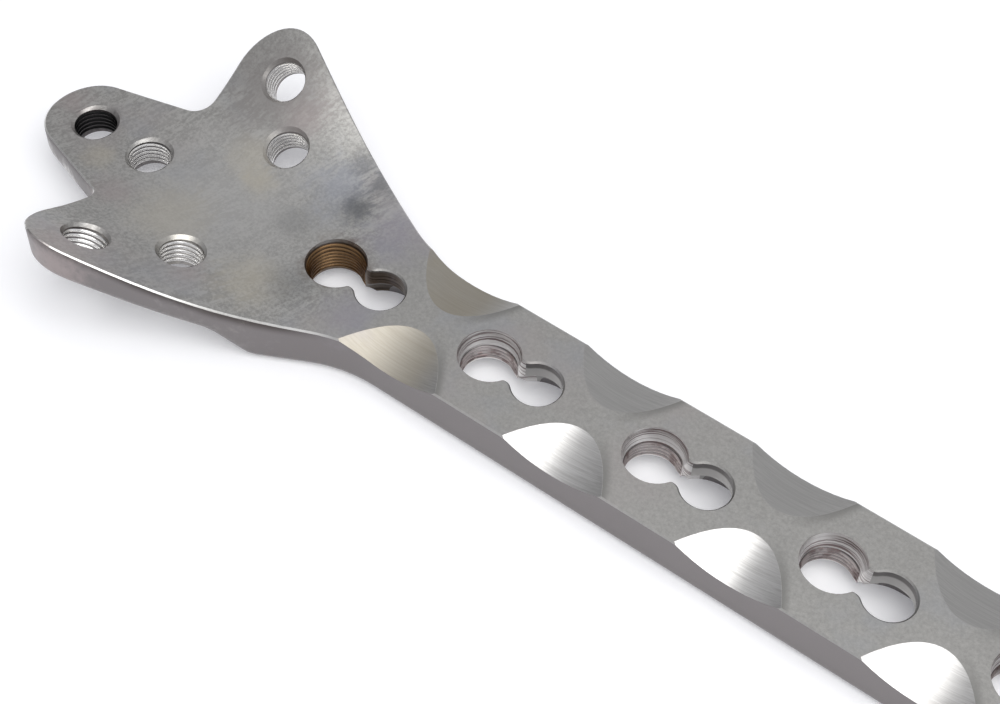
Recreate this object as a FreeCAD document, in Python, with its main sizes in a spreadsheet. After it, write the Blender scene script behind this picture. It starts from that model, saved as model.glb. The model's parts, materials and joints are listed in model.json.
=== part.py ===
import FreeCAD, Part
import math
import os
import Sketcher

# Orthopedic bone plate: a straight shaft with combination holes, and a three-lobed head
# that wraps around the bone as a trough.
# Frame: +X runs along the shaft towards its tail, +Y across it, +Z out of the bone side.
# The origin is on the axis of the first combination hole's threaded half, in the plane of
# the shaft's outer face, which is what the plate lies on.

# Driving sizes in millimetres, degrees or a count: name, value, meaning.
SIZES = (
    ("shaft_width", 13.2, "width of the straight shaft"),
    ("shaft_thick", 5.2, "outer face to bone side face, on the shaft"),
    ("tail_reach", 15.5, "last hole's axis to the tip of the round tail"),
    ("hole_pitch", 18.0, "distance between combination holes"),
    ("hole_count", 5, "number of combination holes"),
    ("bore_radius", 2.7, "threaded half: wall at the thread's root"),
    ("mouth_radius", 3.0, "threaded half: radius of its conical mouth on the bone side"),
    ("mouth_depth", 1.6, "threaded half: depth of that mouth, down to the thread"),
    ("slot_radius", 2.4, "plain half: radius of its wall"),
    ("slot_offset", 5.28, "threaded half's axis to the plain half's axis"),
    ("waist_radius", 1.0, "rounding of the two cusps between the halves"),
    ("flare_radius", 3.8, "threaded half: radius of its flare at the outer face"),
    ("flare_depth", 1.3, "threaded half: depth of that flare"),
    ("glide_radius", 4.2, "plain half: radius of the ball seat in the outer face"),
    ("glide_length", 1.2, "plain half: how far the ball seat runs along the shaft"),
    ("glide_drop", 0.2, "plain half: the seat's centre line below the outer face"),
    ("scallop_radius", 12.0, "radius of the cutter that undercuts the shaft's edges"),
    ("scallop_slope", 14.5, "slope of the scallop's floor towards the edge, degrees"),
    ("scallop_inset", 1.6, "shaft's centre line to the scallop's inner end"),
    ("scallop_place", 11.4, "a hole's axis to the middle of the scallop after it"),
    ("head_thick", 3.3, "thickness of the head"),
    ("trough_radius", 27.8, "radius of the head's bone side, across the plate"),
    ("trough_start", 8.0, "X where the shaft's flat face starts to turn into the trough"),
    ("trough_full", -19.0, "X where the trough has reached its radius"),
    ("ramp_start", -5.9, "X where the head's outer face meets the ramp to the shaft"),
    ("ramp_end", -2.6, "X where that ramp meets the shaft's outer face"),
    ("middle_x", -31.2, "middle lobe: X of its round end's centre"),
    ("middle_y", -0.3, "that centre's distance from the centre line"),
    ("middle_radius", 4.8, "middle lobe: radius of its round end"),
    ("near_x", -18.6, "near lobe: X of its round end's centre"),
    ("near_y", 13.85, "near lobe: that centre's distance from the centre line"),
    ("near_radius", 4.9, "near lobe: radius of its round end"),
    ("far_x", -18.2, "far lobe: X of its round end's centre"),
    ("far_y", 13.0, "far lobe: that centre's distance from the centre line"),
    ("far_radius", 4.7, "far lobe: radius of its round end"),
    ("near_notch_x", -24.5, "notch before the near lobe: X of its arc's centre"),
    ("near_notch_y", 8.9, "that centre's distance from the centre line"),
    ("near_notch_radius", 1.3, "radius of that arc"),
    ("far_notch_x", -24.8, "notch before the far lobe: X of its arc's centre"),
    ("far_notch_y", 8.3, "that centre's distance from the centre line"),
    ("far_notch_radius", 2.2, "radius of that arc"),
    ("neck_x", 9.5, "X where the neck's arcs run into the shaft's straight sides"),
    ("neck_radius", 14.0, "radius of the neck's arcs"),
    ("head_bore_radius", 2.12, "head holes: wall at the thread's root"),
    ("head_mouth_radius", 2.36, "head holes: radius of the bevel on the bone side"),
    ("ramp_round", 2.5, "rounding of the two creases where the ramp starts and ends"),
    ("outer_round", 1.1, "rounding of the plate's edge on the outer side"),
    ("bone_bevel", 0.16, "bevel on the bone side, along the plate's edge and the plain halves"),
)

# Head holes, each square to the trough where it stands: name, X, Y.
HEAD_HOLES = (
    ("far_tip", -17.4, 13.25),
    ("far_root", -12.7, 7.9),
    ("near_tip", -18.1, -13.9),
    ("near_root", -11.7, -8.4),
    ("middle_tip", -30.7, -0.45),
    ("middle_root", -23.4, -0.45),
)

SPARE = 3.0  # how far a cut runs past the faces that it clears
MARGIN = 1.0  # how far the head's cuts reach past its lobes, to each side
TROUGH_STEPS = 7  # evenly spaced steps between the sections of the head's bone side
OUTER_STEPS = 5  # the same for the head's outer side
SMALL = 0.01  # millimetres, or cubic millimetres taken away, that count as nothing
UPRIGHT = 0.02  # the most that a wall's normal turns up or down
FACING = 0.5  # the least that a top or bottom face's normal does
CONVEX = 1
CONCAVE = -1


def write_sizes():
    """The sheet that drives the model."""
    for row, (name, value, meaning) in enumerate(SIZES, 1):
        sheet.set(f"A{row}", meaning)
        sheet.set(f"B{row}", str(value))
        sheet.setAlias(f"B{row}", name)
    for row, (name, x, y) in enumerate(HEAD_HOLES, len(SIZES) + 1):
        sheet.set(f"A{row}", f"{name} hole: X and Y of its axis on the bone side")
        for column, axis, value in (("B", "x", x), ("C", "y", y)):
            sheet.set(f"{column}{row}", str(value))
            sheet.setAlias(f"{column}{row}", f"{name}_hole_{axis}")
    doc.recompute()


def evaluate(formula):
    """The value of an expression over the driving sizes."""
    return float(sheet.evalExpression(formula))


def new_sketch(name, plane, turn=None, **offsets):
    """A sketch on one of the body's origin planes, shifted by expressions along x, y or z."""
    sketch = body.newObject("Sketcher::SketchObject", name)
    base = [o for o in body.Origin.OriginFeatures if o.Role == plane][0]
    sketch.AttachmentSupport = [(base, "")]
    sketch.MapMode = "FlatFace"
    if turn:
        sketch.AttachmentOffset = FreeCAD.Placement(FreeCAD.Vector(), turn)
    for axis, formula in offsets.items():
        sketch.setExpression(f".AttachmentOffset.Base.{axis}", formula)
    return sketch


def bind(sketch, formula, kind, *where):
    """A dimension of a sketch, tied to an expression."""
    index = sketch.addConstraint(Sketcher.Constraint(kind, *where, evaluate(formula)))
    sketch.setExpression(f"Constraints[{index}]", formula)


def place(sketch, geometry, point, across, up):
    """Ties a point of a sketch to an expression for each coordinate, None for zero."""
    for formula, kind, axis in ((across, "DistanceX", -2), (up, "DistanceY", -1)):
        if formula is None:
            sketch.addConstraint(
                Sketcher.Constraint("PointOnObject", geometry, point, axis)
            )
        else:
            bind(sketch, formula, kind, -1, 1, geometry, point)


def polygon(sketch, corners):
    """A closed outline of straight lines. A corner is an expression for each coordinate."""
    values = [
        FreeCAD.Vector(*(0.0 if c is None else evaluate(c) for c in corner), 0)
        for corner in corners
    ]
    lines = [
        sketch.addGeometry(Part.LineSegment(a, b))
        for a, b in zip(values, values[1:] + values[:1])
    ]
    for line, following in zip(lines, lines[1:] + lines[:1]):
        sketch.addConstraint(Sketcher.Constraint("Coincident", line, 2, following, 1))
    for line, (across, up) in zip(lines, corners):
        place(sketch, line, 1, across, up)


def direction(angle):
    return FreeCAD.Vector(math.cos(angle), math.sin(angle), 0)


def tangent_line(first, second):
    """The ends of the line that runs from one circle of an outline on to the next."""
    gap = second["centre"] - first["centre"]
    step = second["side"] * second["value"] - first["side"] * first["value"]
    along = math.sqrt(max(gap.Length**2 - step**2, 0))
    angle = math.atan2(gap.y, gap.x) - math.atan2(step, along)
    right = direction(angle - math.pi / 2)
    return [c["centre"] + right * (c["side"] * c["value"]) for c in (first, second)]


def arc_between(circle, arrive, leave):
    """The stretch of a circle of an outline between its two neighbouring lines."""
    ends = (arrive, leave) if circle["side"] == CONVEX else (leave, arrive)
    spokes = [p - circle["centre"] for p in ends]
    whole = Part.Circle(circle["centre"], FreeCAD.Vector(0, 0, 1), circle["value"])
    return Part.ArcOfCircle(whole, *(math.atan2(s.y, s.x) for s in spokes))


def outline(sketch, rounds):
    """A closed outline of arcs joined by tangent lines, anticlockwise.
    Each round is its centre's two expressions, its radius's expression and its side."""
    circles = [
        {
            "centre": FreeCAD.Vector(evaluate(across or "0"), evaluate(up or "0"), 0),
            "value": evaluate(radius),
            "side": side,
        }
        for across, up, radius, side in rounds
    ]
    lines = [tangent_line(a, b) for a, b in zip(circles, circles[1:] + circles[:1])]
    arcs = [
        sketch.addGeometry(arc_between(circle, lines[i - 1][1], lines[i][0]))
        for i, circle in enumerate(circles)
    ]
    joins = [sketch.addGeometry(Part.LineSegment(*ends)) for ends in lines]
    for i, (across, up, radius, side) in enumerate(rounds):
        arrive, leave = (1, 2) if side == CONVEX else (2, 1)
        sketch.addConstraint(Sketcher.Constraint("Tangent", joins[i - 1], 2, arcs[i], arrive))
        sketch.addConstraint(Sketcher.Constraint("Tangent", arcs[i], leave, joins[i], 1))
        bind(sketch, radius, "Radius", arcs[i])
        place(sketch, arcs[i], 3, across, up)


def finished(feature):
    """Recomputes and checks one feature, so that the next can build on it."""
    doc.recompute()
    bad = {"Invalid", "Error"} & set(feature.State)
    if bad or feature.Shape.isNull() or not feature.Shape.isValid():
        raise RuntimeError(f"{feature.Name} failed: {feature.State}")
    return feature


def feature(kind, name, **settings):
    """A feature of the body, with its plain settings."""
    made = body.newObject("PartDesign::" + kind, name)
    for key, value in settings.items():
        setattr(made, key, value)
    return made


def blank():
    """The plan outline, cut through a slab that is tall enough for the raised lobes."""
    half = "Sizes.shaft_width / 2"
    far_neck = f"{half} + Sizes.neck_radius"
    plan = new_sketch("plan", "XY_Plane")
    outline(
        plan,
        (
            ("Sizes.middle_x", "Sizes.middle_y", "Sizes.middle_radius", CONVEX),
            ("Sizes.near_notch_x", "-Sizes.near_notch_y", "Sizes.near_notch_radius", CONCAVE),
            ("Sizes.near_x", "-Sizes.near_y", "Sizes.near_radius", CONVEX),
            ("Sizes.neck_x", f"-({far_neck})", "Sizes.neck_radius", CONCAVE),
            (f"{TAIL_TIP} - {half}", None, half, CONVEX),
            ("Sizes.neck_x", far_neck, "Sizes.neck_radius", CONCAVE),
            ("Sizes.far_x", "Sizes.far_y", "Sizes.far_radius", CONVEX),
            ("Sizes.far_notch_x", "Sizes.far_notch_y", "Sizes.far_notch_radius", CONCAVE),
        ),
    )
    pad = feature("Pad", "blank", Profile=plan)
    pad.setExpression("Length", BLANK_TOP)
    return finished(pad)


def trough_share(x):
    """The share of the full curvature at an X: none at the flat face, eased in and out."""
    way = f"min(1; (Sizes.trough_start - ({x})) / (Sizes.trough_start - Sizes.trough_full))"
    return f"({way}^2 * (3 - 2 * {way}))"


def flat_section(name, x, level, clear):
    """A rectangle across the plate, from a face's level to where nothing is left."""
    section = new_sketch(name, "YZ_Plane", z=x)
    left, right = f"-{ROOM}", ROOM
    polygon(section, ((left, level), (right, level), (right, clear), (left, clear)))
    return section


def curved_section(name, x, thick, clear):
    """As flat_section, with an arc for its first edge, thick below the trough's face."""
    section = new_sketch(name, "YZ_Plane", z=x)
    bend = f"Sizes.trough_radius / {trough_share(x)}"
    centre = f"Sizes.shaft_thick + {bend}"
    radius = f"{bend} + {thick}"
    middle = FreeCAD.Vector(0, evaluate(centre), 0)
    room = evaluate(ROOM)
    across = math.asin(room / evaluate(radius))
    down = 1.5 * math.pi
    whole = Part.Circle(middle, FreeCAD.Vector(0, 0, 1), evaluate(radius))
    arc = Part.ArcOfCircle(whole, down - across, down + across)
    left, right = arc.StartPoint, arc.EndPoint
    corners = [right, FreeCAD.Vector(room, evaluate(clear), 0)]
    corners += [FreeCAD.Vector(-room, evaluate(clear), 0), left]
    edges = [section.addGeometry(arc)]
    edges += [
        section.addGeometry(Part.LineSegment(a, b)) for a, b in zip(corners, corners[1:])
    ]
    for edge, following in zip(edges, edges[1:] + edges[:1]):
        section.addConstraint(Sketcher.Constraint("Coincident", edge, 2, following, 1))
    section.addConstraint(Sketcher.Constraint("Vertical", edges[1]))
    section.addConstraint(Sketcher.Constraint("Vertical", edges[3]))
    bind(section, radius, "Radius", edges[0])
    place(section, edges[0], 3, None, centre)
    place(section, edges[2], 1, ROOM, clear)
    place(section, edges[2], 2, f"-{ROOM}", clear)
    return section


def cut(kind, name, profile, **settings):
    """A feature that takes material away. One that takes nothing is an error."""
    before = body.Shape.Volume
    made = finished(feature(kind, name, Profile=profile, **settings))
    if made.Shape.Volume > before - SMALL:
        raise RuntimeError(f"{name} cut nothing")
    return made


def loft(name, sections, ruled=False):
    """Cuts away what lies between the sections."""
    return cut("SubtractiveLoft", name, sections[0], Sections=sections[1:], Ruled=ruled)


def head_stations(end, steps):
    """Evenly spaced X positions from past the head's tip to an end, which is left out."""
    return [f"{HEAD_END} + {i / steps} * ({end} - {HEAD_END})" for i in range(steps)]


def bone_side():
    """The face that meets the bone: flat along the shaft, a trough across the head."""
    clear = f"{BLANK_TOP} + {SPARE}"
    level = "Sizes.shaft_thick"
    start = "Sizes.trough_start"
    sections = [
        curved_section(f"bone_section_{i}", x, "0", clear)
        for i, x in enumerate(head_stations(start, TROUGH_STEPS))
    ]
    loft("trough", sections + [flat_section("bone_flat", start, level, clear)])
    over = new_sketch("over_shaft", "XY_Plane", z=level)
    end = f"{TAIL_TIP} + {SPARE}"
    low, high = f"-{ROOM}", ROOM
    polygon(over, ((start, low), (end, low), (end, high), (start, high)))
    return cut("Pocket", "bone_face", over, Reversed=True, Type="ThroughAll")


def outer_side():
    """The head's outer face, which follows the trough, and the ramp down to the shaft's."""
    clear = str(-SPARE)
    top, foot = "Sizes.ramp_start", "Sizes.ramp_end"
    sections = [
        curved_section(f"outer_section_{i}", x, "Sizes.head_thick", clear)
        for i, x in enumerate(head_stations(top, OUTER_STEPS) + [top])
    ]
    loft("head_underside", sections)
    ramp = [
        curved_section("ramp_top", top, "Sizes.head_thick", clear),
        flat_section("ramp_foot", foot, "0", clear),
    ]
    return loft("ramp", ramp, ruled=True)


def level_of(face, point):
    """How far a face turns up, from 1 to -1, at a point on it."""
    return face.normalAt(*face.Surface.parameter(point)).z


def rim(shape, side):
    """The edges where the plate's upright wall meets its bone side, 1, or outer side, -1."""
    names = []
    for number, edge in enumerate(shape.Edges, 1):
        middle = edge.valueAt((edge.FirstParameter + edge.LastParameter) / 2)
        turns = [
            level_of(face, middle)
            for face in shape.ancestorsOfType(edge, Part.Face)
        ]
        upright = [t for t in turns if abs(t) < UPRIGHT]
        facing = [t for t in turns if side * t > FACING]
        if upright and facing:
            names.append(f"Edge{number}")
    return names


def creases(shape):
    """The edges across the plate where the ramp starts and ends."""
    ends = [evaluate("Sizes.ramp_start"), evaluate("Sizes.ramp_end")]
    least = evaluate("Sizes.shaft_width / 2")
    names = []
    for number, edge in enumerate(shape.Edges, 1):
        box = edge.BoundBox
        at_end = any(abs(box.XMin - x) < SMALL and abs(box.XMax - x) < SMALL for x in ends)
        if at_end and box.YLength > least:
            names.append(f"Edge{number}")
    return names


def rounded(name, base, edges, radius):
    """A fillet along some edges of the last feature."""
    made = feature("Fillet", name, Base=(base, edges))
    made.setExpression("Radius", radius)
    return finished(made)


def bevelled(name, base, edges, size):
    """A chamfer along some edges of the last feature."""
    made = feature("Chamfer", name, Base=(base, edges))
    made.setExpression("Size", size)
    return finished(made)


def combination_figure(sketch):
    """The threaded half's circle and the plain half's, with their cusps rounded off."""
    radii = ("bore_radius", "waist_radius", "slot_radius", "waist_radius")
    bore, waist, slot = (evaluate("Sizes." + r) for r in radii[:3])
    reach = evaluate("Sizes.slot_offset")
    waist_x = ((bore + waist) ** 2 - (slot + waist) ** 2 + reach**2) / (2 * reach)
    waist_y = math.sqrt((bore + waist) ** 2 - waist_x**2)
    centres = ((0, 0), (waist_x, -waist_y), (reach, 0), (waist_x, waist_y))
    circles = [
        {
            "centre": FreeCAD.Vector(*centre, 0),
            "value": evaluate("Sizes." + radius),
            "side": CONCAVE if radius == "waist_radius" else CONVEX,
        }
        for centre, radius in zip(centres, radii)
    ]
    touches = [
        a["centre"] + (b["centre"] - a["centre"]) * (a["value"] / (a["value"] + b["value"]))
        for a, b in zip(circles, circles[1:] + circles[:1])
    ]
    arcs = [
        sketch.addGeometry(arc_between(circle, touches[i - 1], touches[i]))
        for i, circle in enumerate(circles)
    ]
    for i, arc in enumerate(arcs):
        leave = 2 if circles[i]["side"] == CONVEX else 1
        sketch.addConstraint(
            Sketcher.Constraint("Tangent", arc, leave, arcs[(i + 1) % 4], leave)
        )
        bind(sketch, "Sizes." + radii[i], "Radius", arc)
    place(sketch, arcs[0], 3, None, None)
    place(sketch, arcs[2], 3, "Sizes.slot_offset", None)


def combination_holes():
    """The row of holes that take a locking screw in one half or a sliding one in the other."""
    figure = new_sketch("combination_hole", "XY_Plane")
    combination_figure(figure)
    hole = cut("Pocket", "combination_pocket", figure, Type="ThroughAll", Reversed=True)
    flare = new_sketch("flare_profile", "XZ_Plane")
    below = str(-SPARE)
    polygon(
        flare,
        (
            (None, below),
            ("Sizes.flare_radius", below),
            ("Sizes.flare_radius", None),
            ("Sizes.bore_radius", "Sizes.flare_depth"),
            (None, "Sizes.flare_depth"),
        ),
    )
    axis = (flare, ["V_Axis"])
    flares = cut("Groove", "flare", flare, ReferenceAxis=axis, Angle=360)
    return repeated("hole_row", [hole, flares, *glide_seat()], "Sizes.hole_count")


def mouths():
    """The conical mouths of the threaded halves on the bone side."""
    cone = new_sketch("mouth_profile", "XZ_Plane")
    top = "Sizes.shaft_thick"
    foot = f"{top} - Sizes.mouth_depth"
    polygon(
        cone,
        (
            (None, foot),
            ("Sizes.bore_radius", foot),
            ("Sizes.mouth_radius", top),
            ("Sizes.mouth_radius", f"{top} + {SPARE}"),
            (None, f"{top} + {SPARE}"),
        ),
    )
    mouth = cut("Groove", "mouth", cone, ReferenceAxis=(cone, ["V_Axis"]), Angle=360)
    return repeated("mouth_row", [mouth], "Sizes.hole_count")


def glide_seat():
    """A long ball seat in the outer face: half a ball at each end and a straight run."""
    start = "Sizes.slot_offset"
    end = f"{start} + Sizes.glide_length"
    cuts = []
    for name, x, backwards in (("first_ball", start, False), ("last_ball", end, True)):
        quarter = new_sketch(name + "_profile", "YZ_Plane", y="-Sizes.glide_drop", z=x)
        sector(quarter, math.pi / 2)
        axis = (quarter, ["V_Axis"])
        ball = cut("Groove", name, quarter, ReferenceAxis=axis, Angle=180, Reversed=backwards)
        cuts.append(ball)
    half = new_sketch("run_profile", "YZ_Plane", y="-Sizes.glide_drop", z=start)
    sector(half, math.pi)
    run = feature("Pocket", "glide_run", Profile=half, Reversed=True)
    run.setExpression("Length", "Sizes.glide_length")
    return [*cuts, finished(run)]


def sector(sketch, angle):
    """A quarter or half of the seat's disc, on from the sketch's first axis."""
    ball = evaluate("Sizes.glide_radius")
    middle = FreeCAD.Vector()
    whole = Part.Circle(middle, FreeCAD.Vector(0, 0, 1), ball)
    arc = sketch.addGeometry(Part.ArcOfCircle(whole, 0, angle))
    back = sketch.addGeometry(Part.LineSegment(direction(angle) * ball, middle))
    out = sketch.addGeometry(Part.LineSegment(middle, direction(0) * ball))
    for edge, following in ((arc, back), (back, out), (out, arc)):
        sketch.addConstraint(Sketcher.Constraint("Coincident", edge, 2, following, 1))
    place(sketch, arc, 3, None, None)
    place(sketch, out, 1, None, None)
    sketch.addConstraint(Sketcher.Constraint("Horizontal", out))
    sketch.addConstraint(Sketcher.Constraint("Horizontal" if angle == math.pi else "Vertical", back))
    bind(sketch, "Sizes.glide_radius", "Radius", arc)


def repeated(name, features, count):
    """A row of the features along the shaft, one hole pitch apart."""
    along = [o for o in body.Origin.OriginFeatures if o.Role == "X_Axis"][0]
    row = body.newObject("PartDesign::LinearPattern", name)
    row.Originals = features
    row.Direction = (along, [""])
    row.setExpression("Length", f"Sizes.hole_pitch * ({count} - 1)")
    row.setExpression("Occurrences", count)
    body.Tip = row
    return finished(row)


def scallop(name, side, turn, **settings):
    """A shallow bite out of the shaft's edge, cut by a round cutter that leans outwards."""
    cutter = new_sketch(
        name + "_circle",
        "XZ_Plane",
        turn=FreeCAD.Rotation(FreeCAD.Vector(turn, 0, 0), 1),
        y="Sizes.shaft_thick",
        z=f"{side} * Sizes.scallop_inset",
    )
    cutter.setExpression(".AttachmentOffset.Rotation.Angle", "Sizes.scallop_slope")
    radius = evaluate("Sizes.scallop_radius")
    centre = FreeCAD.Vector(evaluate("Sizes.scallop_place"), radius, 0)
    circle = cutter.addGeometry(Part.Circle(centre, FreeCAD.Vector(0, 0, 1), radius))
    bind(cutter, "Sizes.scallop_radius", "Radius", circle)
    place(cutter, circle, 3, "Sizes.scallop_place", "Sizes.scallop_radius")
    return cut("Pocket", name, cutter, Type="ThroughAll", **settings)


def scallops():
    """The undercuts on both edges of the shaft, between the holes."""
    near = scallop("near_scallop", 1, 1, Reversed=True)
    far = scallop("far_scallop", -1, -1)
    return repeated("scallop_row", [near, far], "(Sizes.hole_count - 1)")


def head_hole(name):
    """A threaded hole of a lobe, bevelled on the bone side."""
    x, y = f"Sizes.{name}_hole_x", f"Sizes.{name}_hole_y"
    bend = f"Sizes.trough_radius / {trough_share(x)}"
    turn = FreeCAD.Rotation(FreeCAD.Vector(0, 0, 1), 1)
    profile = new_sketch(name, "YZ_Plane", turn=turn, y=f"Sizes.shaft_thick + {bend}", z=x)
    profile.setExpression(".AttachmentOffset.Rotation.Angle", f"asin({y} / ({bend}))")
    bore, mouth = "Sizes.head_bore_radius", "Sizes.head_mouth_radius"
    above = f"-{bend} + {SPARE}"
    below = f"-{bend} - Sizes.head_thick - {SPARE}"
    polygon(
        profile,
        (
            (None, below),
            (bore, below),
            (bore, f"-{bend} + {bore} - {mouth}"),
            (f"{mouth} + {SPARE}", above),
            (None, above),
        ),
    )
    axis = (profile, ["V_Axis"])
    return cut("Groove", name + "_hole", profile, ReferenceAxis=axis, Angle=360)


doc = FreeCAD.newDocument("bone_plate")
sheet = doc.addObject("Spreadsheet::Sheet", "Sizes")
write_sizes()
ROOM = f"(max(Sizes.near_y + Sizes.near_radius; Sizes.far_y + Sizes.far_radius) + {MARGIN})"
BLANK_TOP = "(Sizes.shaft_thick + Sizes.trough_radius)"
HEAD_END = f"(Sizes.middle_x - Sizes.middle_radius - {SPARE})"
TAIL_TIP = "((Sizes.hole_count - 1) * Sizes.hole_pitch + Sizes.tail_reach)"
body = doc.addObject("PartDesign::Body", "bone_plate")
body.Label = "bone_plate"
blank()
bone_side()
plate = outer_side()
plate = rounded("ramp_creases", plate, creases(plate.Shape), "Sizes.ramp_round")
plate = rounded("outer_edge", plate, rim(plate.Shape, -1), "Sizes.outer_round")
plate = combination_holes()
plate = bevelled("bone_edges", plate, rim(plate.Shape, 1), "Sizes.bone_bevel")
mouths()
for name, _, _ in HEAD_HOLES:
    plate = head_hole(name)
plate = scallops()
body.Tip = plate
doc.recompute()
for item in doc.Objects:
    if {"Invalid", "Error"} & set(item.State):
        raise RuntimeError(f"{item.Name}: {item.State}")
if len(body.Shape.Solids) != 1 or not body.Shape.isValid():
    raise RuntimeError("the plate is not one sound solid")
os.makedirs("parts", exist_ok=True)
body.Shape.exportStep("parts/bone_plate.step")
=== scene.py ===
import json
import math

import bmesh
import bpy
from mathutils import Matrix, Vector


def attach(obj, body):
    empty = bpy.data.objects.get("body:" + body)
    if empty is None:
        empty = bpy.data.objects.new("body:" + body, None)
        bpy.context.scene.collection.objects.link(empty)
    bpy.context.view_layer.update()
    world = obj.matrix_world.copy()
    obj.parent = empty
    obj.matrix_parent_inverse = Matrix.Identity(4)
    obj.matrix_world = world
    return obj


# The looks of the bone plate: threads in its holes, satin steel with heat tints and stains,
# ground undercuts, and a white table under plain studio light. Metres, in the CAD frame.

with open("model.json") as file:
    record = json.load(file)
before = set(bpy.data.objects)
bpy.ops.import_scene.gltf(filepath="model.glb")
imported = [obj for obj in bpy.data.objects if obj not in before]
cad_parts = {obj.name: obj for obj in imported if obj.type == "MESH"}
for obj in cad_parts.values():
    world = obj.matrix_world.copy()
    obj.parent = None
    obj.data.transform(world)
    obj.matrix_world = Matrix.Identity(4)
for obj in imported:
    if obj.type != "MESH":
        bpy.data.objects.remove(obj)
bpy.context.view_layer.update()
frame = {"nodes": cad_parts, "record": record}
plate = frame["nodes"]["bone_plate"]
MM = 0.001
THREADED_HOLES = [m for m in frame["record"]["mounts"] if m["kind"] == "threaded_hole"]

# Threads: pitch, height of the crest over the root, and the degrees over which ends fade.
SHAFT_PITCH = 0.45 * MM
SHAFT_CREST = 0.2 * MM
SHAFT_FADE = 10
HEAD_PITCH = 0.5 * MM
HEAD_CREST = 0.13 * MM
HEAD_FADE = 90
OPEN_HALF_ANGLE = 42  # half of the gap where the plain half opens the threaded one
STEPS_PER_TURN = 60
RIDGE_FOOT = 0.42  # half of a ridge's width at its root, as a share of the pitch
RIDGE_TIP = 0.1  # the same at its crest
ROOT_OVERLAP = 0.03 * MM  # how far a ridge reaches into the wall that carries it
CREST_SHARE = "crest_share"  # each point's height on its ridge, from root 0 to crest 1

# Where threads run up above their bores.
MOUTH_DEPTH = 1.6 * MM  # the conical mouths above the threads of the shaft's holes
MOUTH_WIDENS = 0.3 * MM  # what a mouth's radius gains over its depth
MOUTH_PLAIN = 0.15 * MM  # what the first hole's thread leaves plain there
HEAD_BEVEL = 0.2 * MM  # how far the head's threads run up into the bevel of their holes
BEVEL_SLOPE = 1.0  # how fast that bevel widens

# The studio: the table with its glow near the plate and far off, the room's light from its
# dark end to the rest, and the soft box.
TABLE_HALF = 3.0
TABLE_LEVEL = -0.02 * MM
TABLE_COLOUR = (0.87, 0.87, 0.87, 1.0)
TABLE_GLOW = 0.19
FAR_GLOW = 0.6
GLOW_TINT = (0.93, 0.93, 1.0, 1.0)
GLOW_GROWS = (0.12, 0.7)  # distances from the plate's middle
PLATE_MIDDLE = (0.03, 0.0, 0.0)
ROOM_DARK = 0.32
ROOM_LIGHT = 0.62
ROOM_TINT = (0.95, 0.96, 1.0, 1.0)
ROOM_TURNS = (-0.95, -0.45)  # X of the way looked along, from the dark end to the rest
SOFT_BOX_PLACE = (0.25, -0.1, 0.45)
SOFT_BOX_SIZE = (0.62, 0.42)
SOFT_BOX_POWER = 2.0

# The photograph's camera: place in metres, turn in degrees, lens and sensor in millimetres.
CAMERA_PLACE = (0.07359, -0.0819, 0.13346)
CAMERA_TURN = (37.743, -1.973, 36.178)
CAMERA_LENS = 64.1
CAMERA_SENSOR = 36.0
CAMERA_NEAR = 0.01

# Where the shaft's holes are, for the finish of their walls.
HOLE_SIDE = 3.7 * MM  # walls nearer to the centre line than this get the holes' finish
FIRST_HOLE = -4.0 * MM
HOLE_PITCH = 18.0 * MM
BEFORE_HOLE = 6.0 * MM
PLAIN_HALF = 3.1 * MM  # from a threaded half's axis to where its plain half starts
HOLE_RIM = 2.9 * MM  # reach of a head hole's rim from its centre

# The CAD's undercuts and the head's bone side, by which the finish changes.
SHAFT_TOP = 5.2 * MM
SCALLOP_RADIUS = 12.0 * MM
SCALLOP_SLOPE = math.radians(14.5)
SCALLOP_INSET = 1.6 * MM
SCALLOP_PLACE = 11.4 * MM
LAST_SCALLOP_END = 74.4 * MM
TROUGH_RADIUS = 27.8 * MM
TROUGH_START = 8.0 * MM
TROUGH_FULL = -19.0 * MM

# Stretches over which one finish fades into the next: along X and Y, then up Z.
HEAD_END = (0.0 * MM, 6.0 * MM)
GOLD_END = (13.0 * MM, 17.0 * MM)
SATIN_END = (13.0 * MM, 16.0 * MM)
# Where the painted highlight on the near edge fades.
EDGE_HIGHLIGHT_END = (3.0 * MM, 6.0 * MM)
BEVEL_CHANGE = (3.0 * MM, 4.0 * MM)
SIDE_CHANGE = (-1.0 * MM, 1.0 * MM)
BAND_FOOT = (4.25 * MM, 4.5 * MM)
BAND_TOP = (5.0 * MM, 5.1 * MM)
SCORCH_TOP = (4.7 * MM, 5.0 * MM)

# The same, measured from an undercut's rim or middle, or from the head's edge.
GROUND_EDGE = (0.002 * MM, 0.012 * MM)
# Width and stretch of the painted shade beside the undercuts' tail ends.
RIM_SHADE_WIDTH = (0.03 * MM, 0.45 * MM)
RIM_SHADE_STRETCH = (0.5 * MM, 4.5 * MM)
SHADE_DEPTH = (0.75 * MM, 2.0 * MM)
SHADE_RAGGED = 1.2 * MM

# The same in the parts of a surface's normal that tell walls, edges and faces apart.
WALL_NORMAL = (0.2, 0.7)
FACE_NORMAL = (0.80, 0.84)
FOOT_NORMAL = (-0.5, -0.1)
EDGE_NORMAL = (0.3, 0.4)
EDGE_MOST = (0.84, 0.80)
NEAR_NORMAL = (-0.2, -0.12)

# Noise: waves per metre, detail and roughness.
BROAD = (90.0, 3.0, 0.55)
FINE = (3200.0, 4.0, 0.75)
PATCHES = (160.0, 3.0)
HUE = (140.0, 3.0, 0.6)
RAGGED = (900.0, 5.0, 0.7)
BLOTCHES = (210.0, 3.0)
DIRT = (750.0, 3.0, 0.6)

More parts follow.
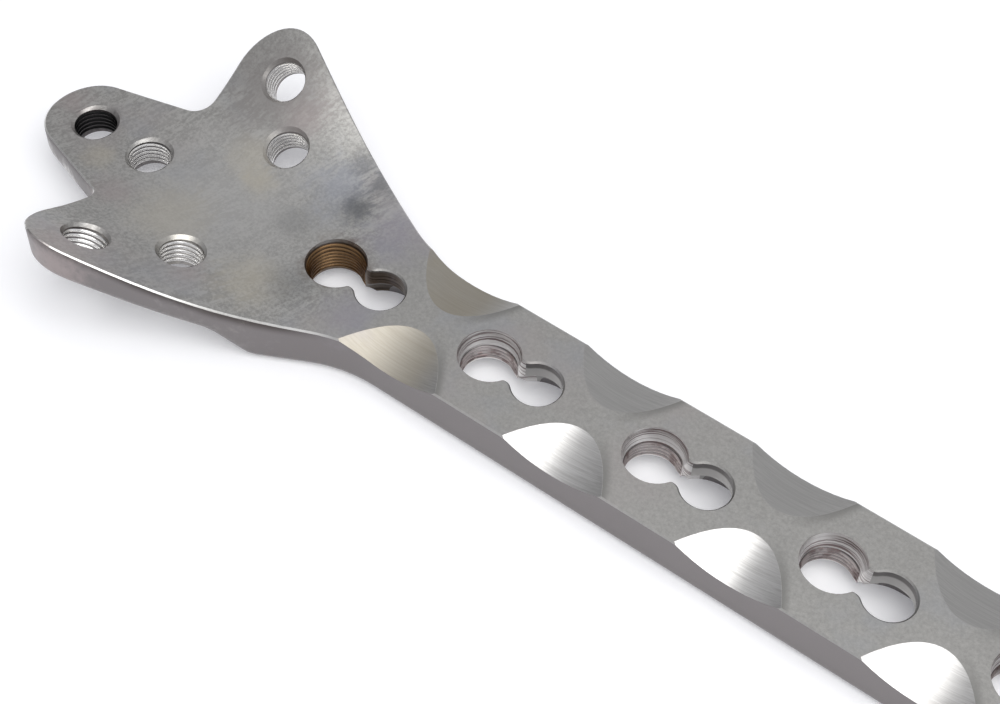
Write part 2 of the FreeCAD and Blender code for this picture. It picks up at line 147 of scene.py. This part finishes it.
# Streaks: waves per metre along each axis, detail, roughness and distortion.
GRINDING = ((110.0, 7500.0, 1500.0), 4.0, 0.7)
RINGS = ((90.0, 90.0, 4200.0), 3.0, 0.6)
BRUSHING = ((2300.0, 520.0, 1000.0), 3.0, 0.6, 0.5)
BRUSHING_TURN = (0, 0, 0.3)

# The surface: roughness, what takes some of it away, and relief.
ROUGHNESS = (0.37, 0.42)
GROUND_SMOOTHER = (-0.06, 0.09)  # from the first two undercuts to the rest
# The edge with the painted highlight is also made smoother.
EDGE_HIGHLIGHT_SMOOTHER = 0.1
BUMP_STRENGTH = 0.3
BUMP_DEPTH = 0.012 * MM
GRINDING_RELIEF = 1.4

# The bare metal's colours.
STEEL_DARK = (0.345, 0.336, 0.318)
STEEL_LIGHT = (0.50, 0.49, 0.465)
STEEL_BLUISH = (0.38, 0.395, 0.43)
STEEL_PINKISH = (0.44, 0.40, 0.39)
TINT_SHARE = 0.35
# The side walls: painted shade, a darker painted band below the head's edge, and a painted
# reflection of the table on their rounded foot.
WALL_SHADE = (0.075, 0.063, 0.06)
WALL_SHADED = (0.215, 0.20, 0.20)
WALL_FOOT_REFLECTION = (0.30, 0.29, 0.29)
# The undercuts' colours: the near side's are lighter as a painted highlight, the far side's
# greyer.
LIT_GROUND_DARK = (0.46, 0.45, 0.435)
LIT_GROUND_LIGHT = (0.61, 0.60, 0.585)
FAR_DARK = (0.40, 0.392, 0.375)
FAR_LIGHT = (0.48, 0.47, 0.45)
# Painted shade beside the undercuts' tail ends.
UNDERCUT_RIM_SHADE = (0.27, 0.265, 0.25)
BORE_DARK = (0.24, 0.19, 0.185)
BORE_LIGHT = (0.80, 0.785, 0.77)
PLAIN_LIGHT = (0.47, 0.46, 0.445)
PLAIN_DARK = (0.19, 0.18, 0.175)
SCORCHED_DARK = (0.035, 0.022, 0.014)
SCORCHED_LIGHT = (0.11, 0.085, 0.065)
GOLD = (0.34, 0.295, 0.21)
GOLD_SHARE = 0.6
# Painted highlight along the near edge of the bone side.
EDGE_HIGHLIGHT = (0.92, 0.91, 0.88)

# The threads: crest, root, dirt, roughness, most dirt, and where the crest's colour is full.
# The roots' dark colours are painted shade in the grooves between the ridges.
THREAD_ROOT_SHADE = (0.035, 0.03, 0.03)
BRONZE_ROOT_SHADE = (0.02, 0.012, 0.008)
THREAD_LOOKS = {
    "thread_steel": ((1.0, 0.99, 0.97), THREAD_ROOT_SHADE, (0.6, 0.59, 0.58), 0.25, 0.4, 0.6),
    "thread_dirty": ((0.72, 0.66, 0.65), THREAD_ROOT_SHADE, (0.20, 0.14, 0.135), 0.3, 0.7, 0.95),
    "thread_bronze": ((0.24, 0.145, 0.072), BRONZE_ROOT_SHADE, (0.07, 0.04, 0.022), 0.3, 0.4, 0.6),
    "thread_black": ((0.03, 0.03, 0.03), (0.01, 0.01, 0.01), (0.01, 0.01, 0.01), 0.4, 0.4, 0.6),
}
SPECIAL_THREADS = {"locking_1": "thread_bronze", "middle_tip": "thread_black"}

# The colours of stains and tints, and of painted highlights and painted shade.
PALE = (0.60, 0.59, 0.57)
# A painted highlight: the reflected table on the foot of the middle lobe's wall.
FOOT_HIGHLIGHT = (0.95, 0.94, 0.92)
BEIGE = (0.60, 0.55, 0.44)
PINK = (0.46, 0.39, 0.38)
BLUE = (0.37, 0.39, 0.45)
VIOLET = (0.36, 0.34, 0.39)
SOOT = (0.12, 0.125, 0.13)
BRONZE = (0.11, 0.062, 0.03)
# Painted shade that darkens the far lobe.
FAR_LOBE_SHADE = (0.30, 0.282, 0.27)
BLACK = (0.012, 0.012, 0.013)

# Stains and tints on the steel, with painted highlights and painted shade among them: X, Y, Z
# and radius in mm, colour, strength.
STAINS = (
    (-13.0, -1.0, 5.4, 13.0, PALE, 0.55),
    (-15.8, -5.6, 5.8, 5.2, BEIGE, 0.35),
    (-5.3, -7.2, 5.4, 4.2, BEIGE, 0.5),
    (-15.0, 5.4, 5.6, 3.4, BEIGE, 0.4),
    (-12.4, 3.4, 5.6, 2.6, BEIGE, 0.5),
    (-13.7, 11.4, 7.6, 3.0, PINK, 0.6),
    (-27.0, -3.4, 5.2, 2.4, BEIGE, 0.4),
    (-35.0, 0.6, 5.2, 3.0, PINK, 0.5),
    (-9.6, -10.0, 6.2, 2.6, PINK, 0.4),
    (-22.4, -6.8, 5.8, 3.0, PINK, 0.4),
    (-5.3, 7.2, 5.8, 4.6, BLUE, 0.5),
    (-2.6, 6.6, 5.4, 2.6, SOOT, 0.7),
    (-2.4, 10.0, 6.2, 2.4, SOOT, 0.55),
    (-5.2, 10.8, 6.6, 2.0, SOOT, 0.4),
    (-6.5, 1.6, 5.2, 2.6, SOOT, 0.25),
    (-1.5, -4.6, 5.2, 3.2, SOOT, 0.3),
    (2.4, 6.2, 5.2, 4.2, VIOLET, 0.6),
    (4.8, -4.2, 5.2, 3.6, VIOLET, 0.5),
    # Painted shade on the far lobe.
    (-17.8, 13.2, 8.0, 8.0, FAR_LOBE_SHADE, 0.75),
    (0.0, 0.0, 3.2, 3.9, BRONZE, 0.95),
    # Painted highlights: the reflected table on the foot of the middle lobe's wall.
    (-33.6, -5.2, 1.6, 2.7, FOOT_HIGHLIGHT, 0.9),
    (-29.4, -6.4, 1.8, 2.9, FOOT_HIGHLIGHT, 0.9),
    (-30.7, -0.45, 3.2, 3.0, BLACK, 1.0),
    (-18.0, -17.6, 9.5, 5.0, PINK, 0.5),
)
STAIN_RAGGED = 0.9  # weight of the broad noise and of the strokes in a stain's edge
STAIN_LEVEL = 1.4  # the level that the noise of the edge swings about
STAIN_FADE = (0.1, 1.15)  # where a stain fades, as shares of its radius


def socket(tree, target, value):
    """Links an output to a node's input, or sets the input to a plain value."""
    if isinstance(value, bpy.types.NodeSocket):
        tree.links.new(value, target)
    else:
        target.default_value = value


def add_node(tree, kind, inputs=(), **settings):
    """A shader node with its settings and its inputs, by name or number."""
    made = tree.nodes.new(kind)
    for key, value in settings.items():
        setattr(made, key, value)
    for key, value in dict(inputs).items():
        socket(tree, made.inputs[key], value)
    return made


def math_node(tree, operation, first, second=0.0, **settings):
    inputs = {0: first, 1: second}
    return add_node(tree, "ShaderNodeMath", inputs, operation=operation, **settings).outputs[0]


def product(tree, first, *others):
    """Two or more numbers multiplied."""
    for other in others:
        first = math_node(tree, "MULTIPLY", first, other)
    return first


def noise(tree, place, waves, detail, rough=0.5, distortion=0.0):
    inputs = {
        "Vector": place,
        "Scale": waves,
        "Detail": detail,
        "Roughness": rough,
        "Distortion": distortion,
    }
    return add_node(tree, "ShaderNodeTexNoise", inputs).outputs["Fac"]


def streaks(tree, place, waves, *settings):
    """Noise with its own number of waves along each axis."""
    inputs = {"Vector": place, "Scale": waves}
    stretched = add_node(tree, "ShaderNodeMapping", inputs).outputs["Vector"]
    return noise(tree, stretched, 1.0, *settings)


def remap(tree, value, low, high, to_low=0.0, to_high=1.0):
    """A smooth step from one number to another while the value goes from low to high."""
    inputs = {
        "Value": value,
        "From Min": low,
        "From Max": high,
        "To Min": to_low,
        "To Max": to_high,
    }
    made = add_node(tree, "ShaderNodeMapRange", inputs, interpolation_type="SMOOTHSTEP")
    return made.outputs["Result"]


def opaque(colour):
    """A written colour with its alpha added. A node's output stays as it is."""
    return (*colour, 1.0) if isinstance(colour, tuple) else colour


def blend(tree, share, first, second):
    """Two colours mixed by a share."""
    inputs = {0: share, 6: opaque(first), 7: opaque(second)}
    return add_node(tree, "ShaderNodeMix", inputs, data_type="RGBA").outputs[2]


def blend_value(tree, share, first, second):
    """Two numbers mixed by a share."""
    inputs = {0: share, 2: first, 3: second}
    return add_node(tree, "ShaderNodeMix", inputs, data_type="FLOAT").outputs[0]


def inside(tree, value, low, high):
    """1 where a value lies between two limits."""
    above = math_node(tree, "GREATER_THAN", value, low)
    below = math_node(tree, "LESS_THAN", value, high)
    return product(tree, above, below)


def apart(tree, place, centre):
    """The distance of a place from a fixed point."""
    inputs = {0: place, 1: centre}
    return add_node(tree, "ShaderNodeVectorMath", inputs, operation="DISTANCE").outputs["Value"]


def new_material(name):
    made = bpy.data.materials.new(name)
    made.use_nodes = True
    tree = made.node_tree
    shader = tree.nodes["Principled BSDF"]
    shader.inputs["Metallic"].default_value = 1.0
    return made, tree, shader


def plate_material():
    """Satin steel with brush strokes and stains, ground undercuts, painted shade and painted
    highlights.
    """
    made, tree, shader = new_material("satin_steel")
    place = add_node(tree, "ShaderNodeTexCoord").outputs["Object"]
    spot = add_node(tree, "ShaderNodeSeparateXYZ", {0: place}).outputs
    facing = add_node(tree, "ShaderNodeNewGeometry").outputs["True Normal"]
    normal = add_node(tree, "ShaderNodeSeparateXYZ", {0: facing}).outputs
    broad = noise(tree, place, *BROAD)
    fine = noise(tree, place, *FINE)
    lines = streaks(tree, place, *GRINDING)
    head = remap(tree, spot["X"], *HEAD_END, 1.0, 0.0)
    patches = remap(tree, noise(tree, place, *PATCHES), 0.42, 0.6, 0.25, 1.0)
    strokes = blend_value(tree, product(tree, head, patches), 0.5, brush_strokes(tree, place))
    colour = bare_steel(tree, place, broad, fine, strokes, head)

    ground, rim_shade = undercut(tree, spot, normal)
    # The undercuts, with a painted highlight on their near side.
    colour = blend(tree, ground, colour, ground_steel(tree, spot, lines, broad))
    # Painted shade beside the undercuts' tail ends.
    colour = blend(tree, rim_shade, colour, UNDERCUT_RIM_SHADE)

    # The side walls get painted shade, with a painted reflection of the table on their foot.
    steep = remap(tree, math_node(tree, "ABSOLUTE", normal["Z"]), *WALL_NORMAL, 1.0, 0.0)
    colour = blend(tree, steep, colour, side_wall(tree, spot, normal, broad, head))
    bore = product(tree, steep, in_hole(tree, spot))
    colour = blend(tree, bore, colour, hole_wall(tree, place, spot))
    colour = stained(tree, place, colour, strokes)
    # A painted highlight along the near edge of the bone side.
    edge = near_edge_highlight(tree, place, spot, normal, broad)
    colour = blend(tree, edge, colour, EDGE_HIGHLIGHT)
    socket(tree, shader.inputs["Base Color"], colour)

    rough = remap(tree, broad, 0.3, 0.7, *ROUGHNESS)
    smoother = remap(tree, spot["X"], *SATIN_END, *GROUND_SMOOTHER)
    rough = math_node(tree, "SUBTRACT", rough, product(tree, ground, smoother))
    rough = math_node(tree, "SUBTRACT", rough, product(tree, edge, EDGE_HIGHLIGHT_SMOOTHER))
    socket(tree, shader.inputs["Roughness"], rough)
    grain = math_node(tree, "ADD", fine, strokes)
    relief = blend_value(tree, ground, grain, product(tree, lines, GRINDING_RELIEF))
    inputs = {"Height": relief, "Strength": BUMP_STRENGTH, "Distance": BUMP_DEPTH}
    bump = add_node(tree, "ShaderNodeBump", inputs)
    socket(tree, shader.inputs["Normal"], bump.outputs["Normal"])
    return made


def brush_strokes(tree, place):
    """Short strokes of the finishing brush, across the plate."""
    inputs = {"Vector": place, "Rotation": BRUSHING_TURN}
    slanted = add_node(tree, "ShaderNodeMapping", inputs).outputs["Vector"]
    return streaks(tree, slanted, *BRUSHING)


def bare_steel(tree, place, broad, fine, strokes, head):
    """The satin faces: grey, with a breath of blue or pink, grain and brush strokes."""
    both = product(tree, math_node(tree, "ADD", fine, strokes), 0.5)
    rough_grain = remap(tree, both, 0.43, 0.57)
    smooth_grain = remap(tree, fine, 0.15, 0.85)
    grain = blend_value(tree, head, smooth_grain, rough_grain)
    colour = blend(tree, grain, STEEL_DARK, STEEL_LIGHT)
    for pattern, tint in ((noise(tree, place, *HUE), STEEL_BLUISH), (broad, STEEL_PINKISH)):
        colour = blend(tree, remap(tree, pattern, 0.5, 0.72, 0.0, TINT_SHARE), colour, tint)
    return colour


def undercut(tree, spot, normal):
    """The ground undercuts, and painted shade as a soft dark border at their tail ends."""
    half = HOLE_PITCH / 2
    shifted = math_node(tree, "ADD", spot["X"], half - SCALLOP_PLACE)
    local = math_node(tree, "SUBTRACT", math_node(tree, "MODULO", shifted, HOLE_PITCH), half)
    aside = math_node(tree, "SUBTRACT", math_node(tree, "ABSOLUTE", spot["Y"]), SCALLOP_INSET)
    above = math_node(tree, "SUBTRACT", spot["Z"], SHAFT_TOP)
    leans = (math.sin(SCALLOP_SLOPE), math.cos(SCALLOP_SLOPE))
    parts = [product(tree, way, lean) for way, lean in zip((aside, above), leans)]
    rest = math_node(tree, "SUBTRACT", SCALLOP_RADIUS, math_node(tree, "ADD", *parts))
    squares = [product(tree, side, side) for side in (local, rest)]
    reach = math_node(tree, "SQRT", math_node(tree, "ADD", *squares))
    gap = math_node(tree, "SUBTRACT", reach, SCALLOP_RADIUS)
    along = inside(tree, spot["X"], SCALLOP_PLACE - half, LAST_SCALLOP_END)
    shaft = product(tree, along, remap(tree, normal["Z"], *FACE_NORMAL))
    ground = product(tree, shaft, remap(tree, gap, *GROUND_EDGE, 1.0, 0.0))
    beside = remap(tree, gap, *RIM_SHADE_WIDTH, 0.9, 0.0)
    tail_end = remap(tree, local, *RIM_SHADE_STRETCH)
    rim_shade = product(tree, shaft, beside, tail_end, math_node(tree, "SUBTRACT", 1.0, ground))
    return ground, rim_shade


def ground_steel(tree, spot, lines, broad):
    """The undercuts: a painted highlight makes the near side bright and the far one greyer, the
    first two golden.
    """
    share = remap(tree, lines, 0.3, 0.7)
    near = blend(tree, share, LIT_GROUND_DARK, LIT_GROUND_LIGHT)
    far = blend(tree, share, FAR_DARK, FAR_LIGHT)
    side_lit = blend(tree, remap(tree, spot["Y"], *SIDE_CHANGE), near, far)
    golden = remap(tree, spot["X"], *GOLD_END, GOLD_SHARE, 0.0)
    golden = product(tree, golden, remap(tree, broad, 0.3, 0.6, 0.7, 1.0))
    return blend(tree, golden, side_lit, GOLD)


def below_face(tree, spot):
    """How far a spot of the head lies below its bone side, by the first two terms of the
    series for the trough's circle."""
    share = remap(tree, spot["X"], TROUGH_FULL, TROUGH_START, 1.0, 0.0)
    bent = product(tree, spot["Y"], spot["Y"], share)
    more = product(tree, bent, share, 0.25 / TROUGH_RADIUS**2)
    rise = product(tree, bent, 0.5 / TROUGH_RADIUS, math_node(tree, "ADD", more, 1.0))
    level = math_node(tree, "ADD", rise, SHAFT_TOP)
    return math_node(tree, "SUBTRACT", level, spot["Z"])


def side_wall(tree, spot, normal, broad, head):
    """The plate's side walls in painted shade: darker than the faces, a darker band below the
    head's edge, and a lighter rounded foot painted as the reflected table.
    """
    ragged = product(tree, broad, SHADE_RAGGED)
    depth = math_node(tree, "ADD", below_face(tree, spot), ragged)
    shade = remap(tree, depth, *SHADE_DEPTH, 0.92, 0.0)
    colour = blend(tree, product(tree, shade, head), WALL_SHADED, WALL_SHADE)
    return blend(tree, remap(tree, normal["Z"], *FOOT_NORMAL, 0.9, 0.0), colour, WALL_FOOT_REFLECTION)


def in_hole(tree, spot):
    """1 on walls near the shaft's centre line: those of its holes, and the tail's tip."""
    aside = math_node(tree, "ABSOLUTE", spot["Y"])
    within = math_node(tree, "LESS_THAN", aside, HOLE_SIDE)
    past = math_node(tree, "GREATER_THAN", spot["X"], FIRST_HOLE)
    return product(tree, within, past)


def hole_wall(tree, place, spot):
    """Bright turned mouths with dark rings, smoother plain halves with a dark band below
    the rim, and everything scorched in the first hole."""
    rings = remap(tree, streaks(tree, place, *RINGS), 0.38, 0.52)
    ringed = blend(tree, rings, BORE_DARK, BORE_LIGHT)
    above_foot = remap(tree, spot["Z"], *BAND_FOOT)
    below_top = remap(tree, spot["Z"], *BAND_TOP, 1.0, 0.0)
    smooth = blend(tree, product(tree, above_foot, below_top), PLAIN_LIGHT, PLAIN_DARK)
    shifted = math_node(tree, "ADD", spot["X"], BEFORE_HOLE)
    local = math_node(tree, "MODULO", shifted, HOLE_PITCH)
    plain = math_node(tree, "GREATER_THAN", local, PLAIN_HALF + BEFORE_HOLE)
    colour = blend(tree, plain, ringed, smooth)
    scorched = blend(tree, rings, SCORCHED_DARK, SCORCHED_LIGHT)
    first = math_node(tree, "LESS_THAN", spot["X"], HOLE_PITCH / 2)
    deep = remap(tree, spot["Z"], *SCORCH_TOP, 1.0, 0.3)
    return blend(tree, product(tree, first, deep), colour, scorched)


def stained(tree, place, colour, strokes):
    """The colour with each stain, painted highlight and patch of painted shade laid over it,
    its edge broken up by noise and strokes.
    """
    edge = noise(tree, place, *RAGGED)
    for more in (noise(tree, place, *BLOTCHES), strokes):
        edge = math_node(tree, "ADD", edge, product(tree, more, STAIN_RAGGED))
    swing = math_node(tree, "SUBTRACT", edge, STAIN_LEVEL)
    for x, y, z, radius, tint, strength in STAINS:
        distance = apart(tree, place, (x * MM, y * MM, z * MM))
        reach = math_node(tree, "DIVIDE", distance, radius * MM)
        worn = math_node(tree, "ADD", reach, swing)
        colour = blend(tree, remap(tree, worn, *STAIN_FADE, strength, 0.0), colour, tint)
    return colour


def near_edge_highlight(tree, place, spot, normal, broad):
    """How much a spot belongs to the near edge of the bone side, which gets a painted
    highlight.
    """
    most = remap(tree, spot["X"], *BEVEL_CHANGE, *EDGE_MOST)
    share = product(
        tree,
        math_node(tree, "LESS_THAN", normal["Z"], most),
        remap(tree, normal["Z"], *EDGE_NORMAL),
        remap(tree, normal["Y"], *NEAR_NORMAL, 1.0, 0.0),
        math_node(tree, "LESS_THAN", spot["Y"], 0.0),
        remap(tree, broad, 0.35, 0.6, 0.3, 0.65),
        remap(tree, spot["X"], *EDGE_HIGHLIGHT_END, 1.0, 0.3),
    )
    for hole in THREADED_HOLES:
        if not in_shaft(hole):
            distance = apart(tree, place, rim_centre(hole))
            share = product(tree, share, math_node(tree, "GREATER_THAN", distance, HOLE_RIM))
    return share


def in_shaft(hole):
    """Whether a threaded hole is one of the shaft's, which lock screws."""
    return hole["name"].startswith("locking")


def downward(hole):
    """The way along a hole's axis from the bone side to the outer side."""
    way = Vector(hole["axis"])
    if way.z > 0:
        way.negate()
    return way


def rim_centre(hole):
    """Where a hole's axis leaves the bone side."""
    return tuple(Vector(hole["pos_m"]) - downward(hole) * (hole["dims"]["length_mm"] * MM / 2))


def thread_material(name, crest, root, dirt, rough, dirty, full):
    """Cut thread: bright crests, roots darkened as painted shade, and dirt left between them in
    patches.
    """
    made, tree, shader = new_material(name)
    place = add_node(tree, "ShaderNodeTexCoord").outputs["Object"]
    height = add_node(tree, "ShaderNodeAttribute", attribute_name=CREST_SHARE).outputs["Fac"]
    steel = blend(tree, remap(tree, height, 0.05, full), root, crest)
    patch = remap(tree, noise(tree, place, *DIRT), 0.46, 0.62, 0.0, dirty)
    socket(tree, shader.inputs["Base Color"], blend(tree, patch, steel, dirt))
    shader.inputs["Roughness"].default_value = rough
    return made


def ridge(mesh, start, frame_axes, bore, crest, pitch, angles, fade):
    """One stretch of thread: a pointed ridge that winds down from start inside a bore.
    The bore is its radius as a function of the way down."""
    across, sideways, down = frame_axes
    share = mesh.verts.layers.float[CREST_SHARE]
    first, last = angles
    count = max(2, round((last - first) / 360 * STEPS_PER_TURN))
    rows = []
    for i in range(count + 1):
        angle = first + (last - first) * i / count
        rise = min(1.0, (angle - first) / fade, (last - angle) / fade)
        way = pitch * angle / 360
        root = bore(way) + ROOT_OVERLAP
        top = bore(way) - crest * max(rise, 0.0)
        lean = math.radians(angle)
        spoke = across * math.cos(lean) + sideways * math.sin(lean)
        level = start + down * way
        profile = (
            (root, -RIDGE_FOOT, 0.0),
            (top, -RIDGE_TIP, 1.0),
            (top, RIDGE_TIP, 1.0),
            (root, RIDGE_FOOT, 0.0),
        )
        rows.append([])
        for r, along, height in profile:
            point = mesh.verts.new(level + spoke * r + down * (pitch * along))
            point[share] = height
            rows[-1].append(point)
    for one, two in zip(rows, rows[1:]):
        for k in range(len(one) - 1):
            mesh.faces.new((one[k], one[k + 1], two[k + 1], two[k]))
    for end in (rows[0], rows[-1]):
        mesh.faces.new(end)


def thread(hole, material):
    """The thread of one of the plate's threaded holes, on the wall that the CAD gives it."""
    shaft = in_shaft(hole)
    pitch, crest = (SHAFT_PITCH, SHAFT_CREST) if shaft else (HEAD_PITCH, HEAD_CREST)
    radius = hole["dims"]["r_mm"] * MM
    length = hole["dims"]["length_mm"] * MM
    down = downward(hole)
    across = Vector((1, 0, 0))
    sideways = down.cross(across).normalized()
    above, slope = 0.0, MOUTH_WIDENS / MOUTH_DEPTH
    if hole["name"] == "locking_1":
        above = MOUTH_DEPTH - MOUTH_PLAIN
    elif not shaft:
        above, slope = HEAD_BEVEL, BEVEL_SLOPE
    start = Vector(hole["pos_m"]) - down * (length / 2 + above - pitch / 2)
    turns = (length + above) / pitch - 1

    def bore(way):
        """A thread that runs up into a mouth or a bevel widens there."""
        return radius + slope * max(0.0, above - pitch / 2 - way)

    mesh = bmesh.new()
    mesh.verts.layers.float.new(CREST_SHARE)
    axes = (across, sideways, down)
    if shaft:
        for turn in range(int(turns)):
            stretch = (360 * turn + OPEN_HALF_ANGLE, 360 * (turn + 1) - OPEN_HALF_ANGLE)
            ridge(mesh, start, axes, bore, crest, pitch, stretch, SHAFT_FADE)
    else:
        ridge(mesh, start, axes, bore, crest, pitch, (0, 360 * turns), HEAD_FADE)
    bmesh.ops.recalc_face_normals(mesh, faces=mesh.faces)
    data = bpy.data.meshes.new(hole["name"] + "_thread")
    mesh.to_mesh(data)
    mesh.free()
    data.polygons.foreach_set("use_smooth", [True] * len(data.polygons))
    piece = bpy.data.objects.new(hole["name"] + "_thread", data)
    bpy.context.scene.collection.objects.link(piece)
    data.materials.append(material)
    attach(piece, "root")


def dress():
    """Materials of the plate and threads of its holes."""
    plate.data.materials.clear()
    plate.data.materials.append(plate_material())
    looks = {name: thread_material(name, *look) for name, look in THREAD_LOOKS.items()}
    for hole in THREADED_HOLES:
        usual = "thread_dirty" if in_shaft(hole) else "thread_steel"
        thread(hole, looks[SPECIAL_THREADS.get(hole["name"], usual)])


def table_material():
    """White paper. Where the camera or a reflection sees it, a faint glow keeps it white."""
    white = bpy.data.materials.new("table_white")
    white.use_nodes = True
    tree = white.node_tree
    tree.nodes.clear()
    paper = add_node(tree, "ShaderNodeBsdfDiffuse", {"Color": TABLE_COLOUR})
    place = add_node(tree, "ShaderNodeTexCoord").outputs["Object"]
    distance = apart(tree, place, PLATE_MIDDLE)
    strength = remap(tree, distance, *GLOW_GROWS, TABLE_GLOW, FAR_GLOW)
    glow = add_node(tree, "ShaderNodeEmission", {"Color": GLOW_TINT, "Strength": strength})
    seen = add_node(tree, "ShaderNodeAddShader", {0: paper.outputs[0], 1: glow.outputs[0]})
    rays = add_node(tree, "ShaderNodeLightPath").outputs
    share = rays["Is Camera Ray"]
    for kind in ("Is Glossy Ray", "Is Transmission Ray"):
        share = math_node(tree, "ADD", share, rays[kind], use_clamp=True)
    inputs = {0: share, 1: paper.outputs[0], 2: seen.outputs[0]}
    mixed = add_node(tree, "ShaderNodeMixShader", inputs)
    add_node(tree, "ShaderNodeOutputMaterial", {0: mixed.outputs[0]})
    return white


def table():
    """The white surface that the plate lies on."""
    data = bpy.data.meshes.new("table")
    corners = [
        (x * TABLE_HALF, y * TABLE_HALF, TABLE_LEVEL)
        for x, y in ((-1, -1), (1, -1), (1, 1), (-1, 1))
    ]
    data.from_pydata(corners, [], [(0, 1, 2, 3)])
    made = bpy.data.objects.new("table", data)
    bpy.context.scene.collection.objects.link(made)
    data.materials.append(table_material())


def room():
    """A pale room, darker low down at the head's end. The camera sees it as white."""
    world = bpy.data.worlds.new("studio")
    bpy.context.scene.world = world
    world.use_nodes = True
    tree = world.node_tree
    tree.nodes.clear()
    ray = add_node(tree, "ShaderNodeLightPath").outputs["Is Camera Ray"]
    white = add_node(tree, "ShaderNodeBackground", {"Color": (1, 1, 1, 1), "Strength": 1.0})
    way = add_node(tree, "ShaderNodeTexCoord").outputs["Generated"]
    along = add_node(tree, "ShaderNodeSeparateXYZ", {0: way}).outputs["X"]
    strength = remap(tree, along, *ROOM_TURNS, ROOM_DARK, ROOM_LIGHT)
    pale = add_node(tree, "ShaderNodeBackground", {"Color": ROOM_TINT, "Strength": strength})
    inputs = {0: ray, 1: pale.outputs[0], 2: white.outputs[0]}
    mixed = add_node(tree, "ShaderNodeMixShader", inputs)
    add_node(tree, "ShaderNodeOutputWorld", {0: mixed.outputs[0]})


def soft_box():
    """One wide light above the plate, which faces straight down."""
    data = bpy.data.lights.new("soft_box", "AREA")
    data.shape = "RECTANGLE"
    data.size, data.size_y = SOFT_BOX_SIZE
    data.energy = SOFT_BOX_POWER
    made = bpy.data.objects.new("soft_box", data)
    made.location = SOFT_BOX_PLACE
    bpy.context.scene.collection.objects.link(made)


def camera():
    """The photograph's camera, found from the rims of the plate's holes."""
    data = bpy.data.cameras.new("camera")
    data.lens = CAMERA_LENS
    data.sensor_width = CAMERA_SENSOR
    data.clip_start = CAMERA_NEAR
    made = bpy.data.objects.new("camera", data)
    made.location = CAMERA_PLACE
    made.rotation_euler = [math.radians(turn) for turn in CAMERA_TURN]
    bpy.context.scene.collection.objects.link(made)
    bpy.context.scene.camera = made


dress()
table()
room()
soft_box()
camera()
view = bpy.context.scene.view_settings
view.view_transform = "Standard"
